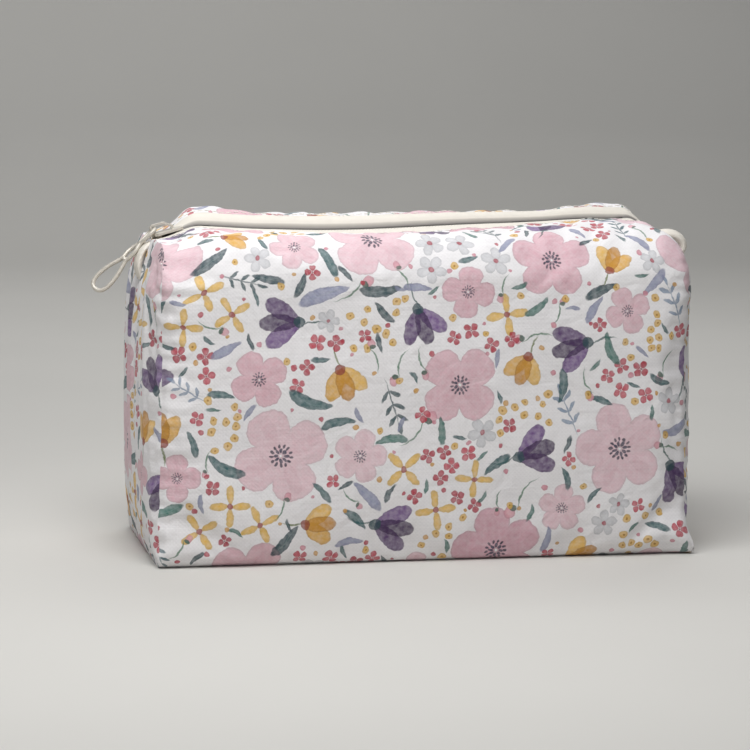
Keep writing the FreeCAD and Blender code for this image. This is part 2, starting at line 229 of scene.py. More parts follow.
def crease_shell(shell, length):
    """Adds the creases, dents and puckers that handling leaves in the walls."""
    x, y, z = (shell[..., i].copy() for i in range(3))
    wall = np.clip((np.abs(y) - 40) / 10, 0, 1) * smooth(z / 12)
    edge = np.exp(-(length - np.abs(x)) / 7.0)
    puckers = np.sin(z * 0.92 + 1.4 * np.sin(z * 0.21)) + 0.5 * np.sin(z * 1.7 + x * 0.3)
    push = 0.42 * edge * puckers
    push += 0.55 * np.sin(z * 0.115 + x * 0.031 + 1.0) * np.sin(x * 0.052 - z * 0.02)
    push += 0.30 * np.sin(x * 0.16 + z * 0.11) * hump((z - 30) / 40)
    front = (y < 0) * 1.0
    push -= 1.9 * front * hump((x + 108) / 17) * hump((z - 127) / 9)
    push += 0.8 * front * hump((x + 104) / 20) * hump((z - 119) / 5)
    push += 1.3 * front * hump((x - 108) / 16) * hump((z - 6 - 0.25 * (x - 95)) / 9)
    push -= 1.1 * front * hump((x - 106) / 14) * hump((z - 19 - 0.3 * (x - 95)) / 6)
    push += 0.7 * hump((x - 104) / 12) * np.sin(z * 0.4 + x * 0.5) * hump((z - 40) / 42)
    y = y + np.sign(y) * push * wall
    corner = front * hump((x - 116) / 11) * hump((z - 2) / 13)
    x = x + 3.4 * corner
    y = y - 1.4 * corner
    top = smooth((z - 128) / 8) * np.clip((np.abs(y) - 6) / 4, 0, 1)
    z = z + top * (0.35 * np.sin(x * 0.22 + 0.4 * y) + 0.25 * np.sin(x * 0.47 - 0.2 * y))
    z = z + 0.45 * np.sin(x * 0.037 + 0.6) * hump(y / 12) * (z > 120) * smooth((104 - np.abs(x)) / 16)
    return np.dstack((x, y, z))


def make_end(shell, side):
    """An end panel fitted inside the shell's edge, as rows up by columns back, in mm."""
    edge = shell[:, 0 if side < 0 else -1]
    low = edge[END_FOOT:LAST_ROW - END_FOOT + 1]
    high = np.vstack((edge[END_HEAD:0:-1], (edge[:1] + edge[-1:]) / 2, edge[-2:LAST_ROW - END_HEAD - 1:-1]))
    near = edge[END_FOOT:END_HEAD - 1:-1]
    far = edge[LAST_ROW - END_FOOT:LAST_ROW - END_HEAD + 1]
    a = np.linspace(0, 1, len(low))[None, :, None]
    b = np.linspace(0, 1, len(near))[:, None, None]
    grid = (1 - b) * low[None] + b * high[None] + (1 - a) * near[:, None] + a * far[:, None]
    grid -= (1 - a) * (1 - b) * low[0] + a * (1 - b) * low[-1] + (1 - a) * b * high[0] + a * b * high[-1]
    a, b = a[..., 0], b[..., 0]
    inner = np.clip(4 * a * (1 - a), 0, 1) ** 0.5 * np.clip(4 * b * (1 - b), 0, 1) ** 0.5
    rim = np.minimum(np.minimum(a, 1 - a), np.minimum(b, 1 - b) * 1.4)
    flat_y, up = grid[..., 1], grid[..., 2]
    pleats = np.sin(flat_y * 0.42 + 0.03 * up + 1.1 * np.sin(up * 0.045))
    pleats += 0.55 * np.sin(flat_y * 0.95 - up * 0.05)
    gathers = np.sin(up * 0.95 + flat_y * 0.1) * np.exp(-rim / 0.06)
    bulge = 3.2 * inner + 0.85 * pleats * inner * (0.45 + 0.55 * b) + 0.5 * gathers * inner
    grid[..., 0] += side * bulge
    return grid


def finer(field):
    """Twice as many points along both axes, on a smooth curve through the ones given."""
    for axis in (0, 1):
        moved = np.moveaxis(field, axis, 0)
        wide = np.concatenate((moved[:1], moved, moved[-1:]))
        middle = (9 * (wide[1:-2] + wide[2:-1]) - wide[:-3] - wide[3:]) / 16
        made = np.empty((2 * len(moved) - 1,) + moved.shape[1:])
        made[::2] = moved
        made[1::2] = middle
        field = np.moveaxis(made, 0, axis)
    return field


def grid_faces(rows, columns, start=0):
    """Four-cornered faces over a grid of points numbered row by row."""
    at = start + np.arange(rows * columns).reshape(rows, columns)
    return np.stack((at[:-1, :-1], at[:-1, 1:], at[1:, 1:], at[1:, :-1]), -1).reshape(-1, 4)


# How many frames the cloth settles for, and the farthest that it may move a point, in mm.
SETTLE_FRAMES, SETTLE_LIMIT = 20, 2.6


def settle_cloth(grids):
    """The grids after the welded shell swells under light air pressure, held at its base and zip."""
    coarse = [g[::2, ::2] for g in grids]
    points = np.concatenate([g.reshape(-1, 3) for g in coarse])
    starts = np.concatenate(((0,), np.cumsum([g.shape[0] * g.shape[1] for g in coarse])))[:-1]
    faces = np.concatenate([grid_faces(g.shape[0], g.shape[1], int(s)) for g, s in zip(coarse, starts)])
    _, first, number = np.unique(np.round(points, 2), axis=0, return_index=True, return_inverse=True)
    number = number.ravel()
    faces = number[faces]
    rest = points[first]
    mesh = new_mesh("settling", rest, faces.tolist())
    with reshaped(mesh):
        pass
    shell = build_object("settling", mesh)
    held = shell.vertex_groups.new(name="held")
    by_zip = smooth((13 - np.abs(rest[:, 1])) / 4) * (rest[:, 2] > 124)
    firm = np.maximum(smooth((4 - rest[:, 2]) / 3), by_zip)
    for i in np.flatnonzero(firm > 0.01):
        held.add([int(i)], float(firm[i]), "REPLACE")
    cloth = shell.modifiers.new("settle", "CLOTH")
    wanted = {
        "quality": 6, "mass": 0.12, "tension_stiffness": 18, "compression_stiffness": 6, "shear_stiffness": 6,
        "bending_stiffness": 0.35, "vertex_group_mass": "held", "use_pressure": True,
        "uniform_pressure_force": 2.2, "shrink_min": -0.012,
    }
    for name, value in wanted.items():
        setattr(cloth.settings, name, value)
    cloth.settings.effector_weights.gravity = 0
    cloth.point_cache.frame_start = 1
    cloth.point_cache.frame_end = SETTLE_FRAMES
    for step in range(1, SETTLE_FRAMES + 1):
        bpy.context.scene.frame_set(step)
    solved = shell.evaluated_get(bpy.context.evaluated_depsgraph_get())
    moved = np.empty(len(rest) * 3, np.float32)
    solved.data.vertices.foreach_get("co", moved)
    moved = moved.reshape(-1, 3) / MM - rest
    bpy.data.objects.remove(shell)
    bpy.context.scene.frame_set(1)
    far = np.linalg.norm(moved, axis=1)
    moved *= (SETTLE_LIMIT * np.tanh(far / SETTLE_LIMIT) / np.maximum(far, 1e-6))[:, None]
    moved[:, 2] *= 0.6
    moved = moved[number]
    settled = []
    for grid, small, start in zip(grids, coarse, starts):
        own = moved[start:start + small.shape[0] * small.shape[1]].reshape(small.shape)
        settled.append(grid + finer(own))
    return settled


def normals_of(grid):
    """A unit normal at each point of a grid, pointing away from the middle of the bag."""
    found = np.cross(np.gradient(grid, axis=0), np.gradient(grid, axis=1))
    found /= np.maximum(np.linalg.norm(found, axis=-1, keepdims=True), 1e-9)
    outward = np.sum(found * (grid - np.array((0, 0, 66.0))))
    return found if outward > 0 else -found


# ---------------------------------------------------------------- the print


def brush(x, y, size, turn):
    """A motif's list of marks, and the function that adds one mark, or a ring of like marks, to it.

    Half length, half width, reach and place along the motif are shares of its size; turns are in degrees.
    """
    marks = []

    def mark(long, wide, ink, taper=0.0, petals=1, reach=0.0, bend=0.0, strength=0.97, at=0.0, lean=0.0):
        away = math.radians(turn)
        place = (x + math.cos(away) * size * at, y + math.sin(away) * size * at, math.radians(turn + lean))
        marks.append((*place, size * long, size * wide, taper, petals, size * reach, bend, *linear(ink),
                      strength))

    return marks, mark


def blossom(mark, size, rng):
    """A broad pink blossom of four or five round petals with dark stamens."""
    petals = 5 if rng.random() < 0.4 else 4
    ink = ("#DDB0BA", "#D5A3B0", "#E3BEC6")[rng.integers(3)]
    wide = 0.44 if petals == 4 else 0.37
    mark(0.48, wide, ink, 0.30, petals, 0.50, strength=rng.uniform(0.78, 0.95))
    mark(0.42, wide * 0.30, "#C48997", 0.45, petals, 0.44, strength=0.13)
    mark(0.05, 0.032, "#2B3747", petals=13, reach=0.20)
    mark(0.06, 0.038, "#3A4559", petals=8, reach=0.11, lean=18)


def cup(mark, size, inks, stem, at, long, wide, taper, reach, spread):
    """Three petals that open from one point on a stem; the inks and shares are those of the kind."""
    half, bend, ink = stem
    mark(half, STEM / size, ink, bend=bend, at=at[0])
    for lean, petal in zip((-spread, spread, 0), inks):
        mark(long, wide, petal, taper, reach=reach, at=at[1], lean=lean)


def crocus(mark, size, rng):
    """A purple cup of three pointed petals on a short stem."""
    cup(mark, size, ("#5A3A6E", "#714D88", "#452D56"), (0.42, 0.3, "#3E6660"), (-0.85, -0.45),
        0.52, 0.22, 0.25, 0.50, 34)
    mark(0.16, 0.15, "#2F4F55", 0.2, at=-0.45)


def tulip(mark, size, rng):
    """A yellow cup of three round petals with an ochre shade."""
    cup(mark, size, ("#DDA944", "#E6B755", "#C98F35"), (0.35, 0.25, "#7C8A52"), (-0.75, -0.4),
        0.46, 0.24, 0.1, 0.44, 36)
    mark(0.14, 0.16, "#9A4A3C", at=-0.4)


def star(mark, size, rng):
    """A yellow star of four thin petals with a red middle."""
    mark(0.46, 0.19, "#E8BC58", 0.15, 4, 0.54)
    mark(0.15, 0.15, "#A5473C")


def cross(mark, size, rng):
    """A small red blossom of four round petals."""
    mark(0.44, 0.40, ("#B82C40", "#C64152")[rng.integers(2)], 0.2, 4, 0.54)
    mark(0.13, 0.13, "#8E2F3C")


def dot(mark, size, rng):
    """A yellow berry with an ochre middle."""
    mark(1, 0.92, "#E2B65A")
    mark(0.3, 0.3, "#B5822F")


def daisy(mark, size, rng):
    """A pale grey blossom of five petals with a red middle."""
    mark(0.46, 0.34, "#CFCFD2", 0.2, 5, 0.54, strength=0.9)
    mark(0.19, 0.18, "#B25560")


def leaf(mark, size, rng):
    """A pointed leaf with a pale rib, in teal or lavender grey."""
    ink = ("#2F5F62", "#24484F", "#3C7469", "#9498B4")[rng.integers(4)]
    bend = rng.uniform(-0.25, 0.25)
    mark(1, 0.26, ink, -0.3, bend=bend)
    mark(0.9, RIB / size, "#B9CCC6", bend=bend, strength=0.5)


def sprig(mark, size, rng):
    """A thin stem with three pairs of small leaves and one at its tip."""
    ink = ("#35626A", "#8A9DB4", "#2F5458")[rng.integers(3)]
    mark(1, TWIG / size, ink)
    for step in (-0.45, 0.05, 0.5):
        for lean in (48, -48):
            mark(0.26, 0.085, ink, reach=0.27, at=step, lean=lean)
    mark(0.25, 0.08, ink, at=1.05)


def bud(mark, size, rng):
    """A small pink bud on a curved green stem."""
    mark(0.85, STEM / size, "#5E8A6C", bend=0.35)
    mark(0.3, 0.24, "#DFA3AE", at=0.95)
    mark(0.14, 0.2, "#44705F", at=0.75)


def speck(mark, size, rng):
    """A loose red, pink or ochre dot."""
    mark(1, 1, ("#BE3E4E", "#D98F9C", "#D8A24A")[rng.integers(3)])


# The print's parts, in the order they are set out: motif, how many places in one repeat, least and most size,
# how many grow together at each place, and how far they spread from its middle.
PLANTED = (
    (blossom, 8, 17.0, 21.0, 1, 0.0), (blossom, 9, 9.5, 13.5, 1, 0.0), (crocus, 10, 13.0, 17.0, 1, 0.0),
    (tulip, 7, 13.0, 16.0, 1, 0.0), (star, 4, 8.5, 9.5, 3, 19.0), (sprig, 9, 9.0, 12.0, 1, 0.0),
    (cross, 9, 3.4, 4.0, 7, 13.0), (dot, 7, 1.7, 2.1, 9, 12.0), (daisy, 7, 5.6, 6.8, 4, 15.0),
    (leaf, 12, 8.0, 12.0, 1, 0.0), (bud, 8, 8.0, 11.0, 1, 0.0), (blossom, 5, 6.5, 8.5, 1, 0.0),
    (leaf, 40, 5.5, 8.0, 1, 0.0), (daisy, 14, 5.0, 6.2, 1, 0.0), (bud, 16, 5.5, 7.5, 1, 0.0),
    (cross, 22, 3.0, 3.6, 1, 0.0), (leaf, 60, 3.2, 5.0, 1, 0.0), (dot, 40, 1.5, 2.0, 1, 0.0),
    (speck, 120, 0.8, 1.4, 1, 0.0),
)
# Thin motifs let their neighbours come closer, as a share of their size.
ROOM = {leaf: 0.55, sprig: 0.66, bud: 0.55, crocus: 0.70, tulip: 0.72, star: 0.80}
# How many places are tried for each motif, and for each one that grows beside it.
CHOICES = 160
NEARBY = 30
PRINT_SEED = 7


def draw_print():
    """Every brush mark in one repeat of the print, lowest first.

    Each motif goes to the free place farthest from others of its kind, out of a number tried at random.
    """
    rng = np.random.default_rng(PRINT_SEED)
    taken = np.empty((0, 3))
    marks = []

    def apart(spots, others):
        away = (spots[:, None] - others[None] + REPEAT / 2) % REPEAT - REPEAT / 2
        return np.hypot(away[..., 0], away[..., 1])

    def free(spots, room):
        return spots[(apart(spots, taken[:, :2]) > taken[:, 2] + room).all(axis=1)]

    for motif, places, least, most, together, spread in PLANTED:
        share = ROOM.get(motif, 0.92)
        middles = np.empty((0, 2))
        for _ in range(places):
            size = rng.uniform(least, most)
            spots = free(rng.uniform(0, 1, (CHOICES, 2)) * REPEAT, size * share)
            if not len(spots):
                continue
            gaps = apart(spots, middles).min(axis=1) if len(middles) else np.zeros(len(spots))
            spot = middle = spots[gaps.argmax()]
            middles = np.vstack((middles, middle))
            for _ in range(together):
                made, mark = brush(*spot, size, rng.uniform(0, 360))
                motif(mark, size, rng)
                marks += made
                taken = np.vstack((taken, (*spot, size * share)))
                size = rng.uniform(least, most)
                spots = free(middle + rng.uniform(-1, 1, (NEARBY, 2)) * spread, size * share)
                if not len(spots):
                    break
                spot = spots[0]
    return np.array(marks)


def unpainted(count):
    """Values for that many faces with no mark on them: clear ink, and a size and petal count of one."""
    held = np.zeros((LAYERS, count, MARK_VALUES))
    held[:, :, (3, 4, 6)] = 1
    return held


def paint(centres, marks, margin=1.7):
    """For each face, the brush marks within that margin of it: arrays of layers by faces by value."""
    used = np.zeros(len(centres), int)
    held = unpainted(len(centres))
    for mark in marks:
        x, y, turn, long, wide, taper, petals, reach, bend = mark[:9]
        away = (centres - (x, y) + REPEAT / 2) % REPEAT - REPEAT / 2
        near = np.flatnonzero(np.hypot(*away.T) < reach + max(long, wide) + margin)
        if not len(near):
            continue
        d = away[near]
        angle = np.arctan2(d[:, 1], d[:, 0]) - turn
        part = 2 * math.pi / petals
        angle = (angle + part / 2) % part - part / 2
        r = np.hypot(*d.T)
        u = r * np.cos(angle) - reach
        v = r * np.sin(angle) - bend * u * u / long
        grown = np.maximum(wide * (1 + taper * np.clip(u / long, -1, 1)), 0.1) + margin
        near = near[(u / (long + margin)) ** 2 + (v / grown) ** 2 < 1]
        full = near[used[near] >= LAYERS]
        held[:-1, full] = held[1:, full]
        used[full] -= 1
        held[used[near], near] = mark
        held[used[near], near, :2] = centres[near] - away[near]
        used[near] += 1
    return held


# ---------------------------------------------------------------- sheets


def make_sheet(name, grid, normals, cloth, thickness, material, marks=None):
    """A sheet with real thickness from a grid of outer points; printed where marks are given."""
    rows, columns = grid.shape[:2]
    size = rows * columns
    inner = grid - normals * thickness
    points = np.concatenate((grid.reshape(-1, 3), inner.reshape(-1, 3)))
    outside = grid_faces(rows, columns)
    sample = grid[rows // 2 - 1:rows // 2 + 2, columns // 2 - 1:columns // 2 + 2]
    facing = np.cross(sample[1, 2] - sample[1, 1], sample[2, 1] - sample[1, 1])
    turned = facing @ normals[rows // 2, columns // 2]
    if turned < 0:
        outside = outside[:, ::-1]
    at = np.arange(size).reshape(rows, columns)
    border = np.concatenate((at[0], at[1:, -1], at[-1, -2::-1], at[-2:0:-1, 0]))
    following = np.roll(border, -1)
    rim = np.stack((following, border, border + size, following + size), -1)
    if turned < 0:
        rim = rim[:, ::-1]
    faces = np.concatenate((outside, outside[:, ::-1] + size, rim))
    mesh = new_mesh(name, points, faces.tolist())
    mesh.shade_smooth()
    flat = np.tile(cloth.reshape(-1, 2), (2, 1))
    add_values(mesh, "cloth", "FLOAT_VECTOR", "POINT", np.column_stack((flat, 0 * flat[:, 0])))
    if marks is not None:
        held = unpainted(len(faces))
        held[:, :len(outside)] = paint(cloth.reshape(-1, 2)[outside].mean(1), marks)
        for layer in range(LAYERS):
            for first, part in enumerate(MARK_PARTS):
                kind = "FLOAT_COLOR" if part == "ink" else "FLOAT_VECTOR"
                last = MARK_VALUES if part == "ink" else 3 * first + 3
                add_values(mesh, f"stroke{layer}_{part}", kind, "FACE", held[layer, :, 3 * first:last])
    mesh.normals_split_custom_set_from_vertices(
        np.concatenate((normals.reshape(-1, 3), -normals.reshape(-1, 3))).tolist())
    mesh.materials.append(material)
    return build_object(name, mesh)


def halves(grid, extra=()):
    """The left and right halves of a grid, sharing the middle column, with any like grids beside it."""
    for side in SIDES:
        parts = []
        for whole in (grid, *extra):
            middle = whole.shape[1] // 2
            parts.append(whole[:, :middle + 1] if side == "left" else whole[:, middle:])
        yield side, parts


# Where along the zip each half starts to open and is fully open, in metres.
OPENING = {"left": (-0.112, -0.030), "right": (0.094, 0.015)}


def bend_with_zip(piece, flap, side):
    """Bakes a piece's placement into its mesh; the opening span for its side is read, but the piece does not
    open.
    """
    start, end = OPENING[side]
    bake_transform(piece)


# ---------------------------------------------------------------- materials


def feed(tree, made, inputs):
    """Sets a node's inputs; each is a value, a socket, or a node whose first output is used."""
    for key, value in dict(inputs).items():
        if isinstance(value, bpy.types.Node):
            value = value.outputs[0]
        if isinstance(value, bpy.types.NodeSocket):
            tree.links.new(value, made.inputs[key])
        else:
            made.inputs[key].default_value = value


def node(tree, kind, inputs=(), **settings):
    """Adds a node with its settings and inputs; a kind without the word Node is a shader node."""
    made = tree.nodes.new(kind if "Node" in kind else "ShaderNode" + kind)
    for name, value in settings.items():
        setattr(made, name, value)
    feed(tree, made, inputs)
    return made


def new_material(name):
    """An empty node material, its tree and its surface shader."""
    material = bpy.data.materials.new(name)
    material.use_nodes = True
    tree = material.node_tree
    tree.nodes.clear()
    shader = node(tree, "BsdfPrincipled")
    node(tree, "OutputMaterial", {"Surface": shader})
    return material, tree, shader


# The brush mark's outline, worked out step by step from the cloth's own coordinates.
MARK_STEPS = (
    ("dx", "SUBTRACT", "x", "cx"), ("dy", "SUBTRACT", "y", "cy"),
    ("xx", "MULTIPLY", "dx", "dx"), ("rr", "MULTIPLY_ADD", "dy", "dy", "xx"), ("r", "SQRT", "rr"),
    ("heading", "ARCTAN2", "dy", "dx"), ("own", "SUBTRACT", "heading", "turn"),
    ("part", "DIVIDE", 2 * math.pi, "petals"), ("half", "MULTIPLY", "part", 0.5),
    ("shifted", "ADD", "own", "half"), ("folded", "FLOORED_MODULO", "shifted", "part"),
    ("angle", "SUBTRACT", "folded", "half"), ("cos", "COSINE", "angle"), ("sin", "SINE", "angle"),
    ("forward", "MULTIPLY", "r", "cos"), ("u", "SUBTRACT", "forward", "reach"),
    ("side", "MULTIPLY", "r", "sin"), ("share", "DIVIDE", "u", "long"),
    ("curve", "MULTIPLY", "share", "u"), ("bent", "MULTIPLY", "curve", "bend"),
    ("v", "SUBTRACT", "side", "bent"),
    ("grow", "MULTIPLY_ADD", "share", "taper", 1.0), ("room", "MAXIMUM", "grow", 0.15),
    ("width", "MULTIPLY", "room", "wide"), ("over", "DIVIDE", "v", "width"),
    ("a", "MULTIPLY", "share", "share"), ("q", "MULTIPLY_ADD", "over", "over", "a"),
    ("inside", "SUBTRACT", 1.0, "q"), ("small", "MINIMUM", "long", "wide"),
    ("scaled", "MULTIPLY", "small", 0.5), ("depth", "MULTIPLY", "inside", "scaled"),
)


def mark_group():
    """The node group that says how far inside a brush mark a point of the cloth is, in mm."""
    tree = bpy.data.node_groups.new("brush_mark", "ShaderNodeTree")
    for name in ("Cloth", "Place", "Shape", "Fan"):
        tree.interface.new_socket(name, in_out="INPUT", socket_type="NodeSocketVector")
    for name in ("Cover", "Rim"):
        tree.interface.new_socket(name, in_out="OUTPUT", socket_type="NodeSocketFloat")
    given = node(tree, "NodeGroupInput")
    values = {}
    for socket, names in (("Cloth", ("x", "y", "")), ("Place", ("cx", "cy", "turn")),
                          ("Shape", ("long", "wide", "taper")), ("Fan", ("petals", "reach", "bend"))):
        split = node(tree, "SeparateXYZ", {0: given.outputs[socket]})
        values.update(zip(names, split.outputs))
    for name, operation, *terms in MARK_STEPS:
        inputs = {i: values[t] if isinstance(t, str) else t for i, t in enumerate(terms)}
        values[name] = node(tree, "Math", inputs, operation=operation).outputs[0]
    cover = node(tree, "MapRange", {"Value": values["depth"], "From Min": -0.05, "From Max": 0.22},
                 interpolation_type="SMOOTHSTEP")
    rim = node(tree, "MapRange", {"Value": values["depth"], "From Min": 0.1, "From Max": 0.9,
                                  "To Min": 1.0, "To Max": 0.0}, interpolation_type="SMOOTHSTEP")
    node(tree, "NodeGroupOutput", {"Cover": cover, "Rim": rim})
    return tree


def weave_height(tree, cloth, pitch, slub):
    """Height of a plain weave of that thread pitch in mm, with thicker threads here and there."""
    split = node(tree, "SeparateXYZ", {0: cloth})
    rate = math.pi / pitch
    waves = []
    for axis in (0, 1):
        angle = node(tree, "Math", {0: split.outputs[axis], 1: rate}, operation="MULTIPLY")
        waves.append(node(tree, "Math", {0: angle}, operation="SINE"))
    checks = node(tree, "Math", {0: waves[0], 1: waves[1]}, operation="MULTIPLY")
    height = node(tree, "Math", {0: checks, 1: 0.25}, operation="MULTIPLY")
    for along, share in (((0.05, 1.1, 1.0), 1.0), ((1.2, 0.06, 1.0), 0.6)):
        threads = node(tree, "Mapping", {"Vector": cloth, "Scale": along})
        thick = node(tree, "TexNoise", {"Vector": threads, "Scale": 1.0, "Detail": 3.0})
        height = node(tree, "Math", {0: thick, 1: slub * share, 2: height}, operation="MULTIPLY_ADD")
    return height


def printed_cotton(colours):
    """Plain woven cotton with a pigment print: matt, slightly fuzzy, with uneven ink."""
    material, tree, shader = new_material("printed_woven_cotton")
    cloth = node(tree, "Attribute", attribute_name="cloth").outputs["Vector"]
    wobble = node(tree, "TexNoise", {"Vector": cloth, "Scale": 0.32, "Detail": 2.0})
    centred = node(tree, "VectorMath", {0: wobble.outputs["Color"], 1: (0.5, 0.5, 0.5)}, operation="SUBTRACT")
    shift = node(tree, "VectorMath", {0: centred, 1: (1.7, 1.7, 0.0)}, operation="MULTIPLY")
    hand = node(tree, "VectorMath", {0: cloth, 1: shift}, operation="ADD")
    pools = node(tree, "TexNoise", {"Vector": cloth, "Scale": 0.45, "Detail": 4.0})
    wash = node(tree, "MapRange", {"Value": pools, "From Min": 0.3, "From Max": 0.75,
                                   "To Min": 0.72, "To Max": 1.03})
    warmth = node(tree, "TexNoise", {"Vector": cloth, "Scale": 0.03, "Detail": 2.0})
    ground = node(tree, "Mix", {0: warmth, 6: (*colours.cotton, 1), 7: (*linear("#EAE7E9"), 1)},
                  data_type="RGBA")
    colour = ground.outputs[2]
    group = mark_group()
    for layer in range(LAYERS):
        parts = {
            part: node(tree, "Attribute", attribute_name=f"stroke{layer}_{part}")
            for part in MARK_PARTS
        }
        mark = node(tree, "Group", node_tree=group)
        feed(tree, mark, {"Cloth": hand})
        feed(tree, mark, {part.capitalize(): parts[part].outputs["Vector"] for part in MARK_PARTS[:3]})
        ink, strength = parts["ink"].outputs["Color"], parts["ink"].outputs["Alpha"]
        dark = node(tree, "Mix", {0: 0.22, 6: ink, 7: (0.05, 0.04, 0.06, 1)}, data_type="RGBA").outputs[2]
        edge = node(tree, "Mix", {0: mark.outputs["Rim"], 6: ink, 7: dark}, data_type="RGBA")
        thin = node(tree, "Math", {0: mark.outputs["Cover"], 1: strength}, operation="MULTIPLY")
        amount = node(tree, "Math", {0: thin, 1: wash}, operation="MULTIPLY", use_clamp=True)
        colour = node(tree, "Mix", {0: amount, 6: colour, 7: edge.outputs[2]}, data_type="RGBA").outputs[2]
    # Real threads are 0.4 mm apart; they are drawn coarser so that they show.
    height = weave_height(tree, cloth, 0.85, 1.6)
    # Painted shade and light: the cotton's colour is darker where the weave lies low and lighter where its
    # threads stand up.
    weave_shade = node(tree, "MapRange", {"Value": height, "From Min": 0.7, "From Max": 1.9,
                                   "To Min": 0.93, "To Max": 1.03})
    toned = node(tree, "VectorMath", {0: colour, 1: weave_shade}, operation="MULTIPLY")
    folds = node(tree, "TexNoise", {"Vector": cloth, "Scale": 0.075, "Detail": 5.0, "Distortion": 0.7})
    soft = node(tree, "Bump", {"Height": folds, "Strength": 0.5, "Distance": 0.0022})
    bump = node(tree, "Bump", {"Height": height, "Strength": 0.35, "Distance": 0.00016, "Normal": soft})
    feed(tree, shader, {"Base Color": toned, "Normal": bump, "Roughness": 0.88, "Sheen Weight": 0.12,
                        "Sheen Roughness": 0.5})
    return material


def plain_cloth(name, colour, pitch, sheen):
    """A plain woven or ribbed cloth in one dye: faint thread tone, soft sheen."""
    material, tree, shader = new_material(name)
    cloth = node(tree, "Attribute", attribute_name="cloth").outputs["Vector"]
    height = weave_height(tree, cloth, pitch, 1.0)
    mottle = node(tree, "TexNoise", {"Vector": cloth, "Scale": 0.12, "Detail": 3.0})
    tone = node(tree, "MapRange", {"Value": mottle, "To Min": 0.90, "To Max": 1.06})
    shaded = node(tree, "VectorMath", {0: tuple(colour), 1: tone}, operation="MULTIPLY")
    bump = node(tree, "Bump", {"Height": height, "Strength": 0.5, "Distance": 0.00018})
    feed(tree, shader, {"Base Color": shaded, "Normal": bump, "Roughness": 0.78, "Sheen Weight": sheen})
    return material


def herringbone_tape(colours):
    """Polyester zip tape woven in a fine herringbone: smoother than cotton, with a low sheen."""
    material, tree, shader = new_material("herringbone_polyester_tape")
    cloth = node(tree, "Attribute", attribute_name="cloth").outputs["Vector"]
    split = node(tree, "SeparateXYZ", {0: cloth})
    # Ribs 0.9 mm wide lean one way and then the other; the threads in them are 0.5 mm apart.
    fold = node(tree, "Math", {0: split.outputs[1], 1: 0.9}, operation="PINGPONG")
    lean = node(tree, "Math", {0: fold, 1: split.outputs[0]}, operation="ADD")
    angle = node(tree, "Math", {0: lean, 1: 2 * math.pi / 0.5}, operation="MULTIPLY")
    thread = node(tree, "Math", {0: angle}, operation="SINE")
    mottle = node(tree, "TexNoise", {"Vector": cloth, "Scale": 0.2, "Detail": 3.0})
    tone = node(tree, "MapRange", {"Value": mottle, "To Min": 0.93, "To Max": 1.04})
    shaded = node(tree, "VectorMath", {0: tuple(colours.tape), 1: tone}, operation="MULTIPLY")
    # The coil's sewing thread and the shade between the tapes darken the last millimetre and a half.
    across = node(tree, "Math", {0: split.outputs[1]}, operation="ABSOLUTE")
    groove = node(tree, "MapRange", {"Value": across, "From Min": 0.9, "From Max": 1.7,
                                     "To Min": 0.9, "To Max": 0.0})
    shade = (*linear("#6E6A68"), 1)
    shaded = node(tree, "Mix", {0: groove, 6: shaded, 7: shade}, data_type="RGBA").outputs[2]
    bump = node(tree, "Bump", {"Height": thread, "Strength": 0.35, "Distance": 0.00008})
    feed(tree, shader, {"Base Color": shaded, "Normal": bump, "Roughness": 0.62, "Sheen Weight": 0.08})
    return material


def hard_finish(name, colour, roughness, grain, depth, metallic=0.0, coat=0.0):
    """A moulded, spun or enamelled finish with a fine grain that breaks up its gloss."""
    material, tree, shader = new_material(name)
    place = node(tree, "TexCoord").outputs["Object"]
    speckle = node(tree, "TexNoise", {"Vector": place, "Scale": 1 / (grain * MM), "Detail": 4.0})
    tone = node(tree, "MapRange", {"Value": speckle, "To Min": 0.86, "To Max": 1.10})
    shaded = node(tree, "VectorMath", {0: tuple(colour), 1: tone}, operation="MULTIPLY")
    gloss = node(tree, "MapRange", {"Value": speckle, "To Min": roughness - 0.08, "To Max": roughness + 0.1})
    bump = node(tree, "Bump", {"Height": speckle, "Strength": 0.4, "Distance": depth * MM})
    feed(tree, shader, {"Base Color": shaded, "Roughness": gloss, "Normal": bump, "Metallic": metallic,
                        "Coat Weight": coat})
    return material


MATERIALS = {}


def load_materials(colours):
    """Makes each finish once."""
    MATERIALS.update(
        cotton=printed_cotton(colours),
        lining=plain_cloth("plain_cotton_lining", colours.lining, 0.62, 0.08),
        # Needled polyester: white, very soft, with tufts a few millimetres across.
        wadding=hard_finish("needled_polyester_wadding", linear("#F2F0EB"), 0.88, 2.5, 0.5),
        tape=herringbone_tape(colours),
        # Nylon monofilament: smooth and slightly glossy.
        coil=hard_finish("nylon_coil", colours.coil, 0.36, 1.2, 0.02),
        thread=hard_finish("spun_polyester_thread", linear("#EFEBE2"), 0.7, 0.5, 0.05),
        # Enamel baked on die-cast zinc: even colour under a thin glossy coat.
        enamel=hard_finish("ivory_enamelled_zinc", colours.metal, 0.34, 1.6, 0.02, 0.15, 0.35),
    )


# ---------------------------------------------------------------- repeated shapes


def input_id(tree, name):
    """The identifier of a tree's named input."""
    return next(i.identifier for i in tree.interface.items_tree if i.name == name and i.in_out == "INPUT")


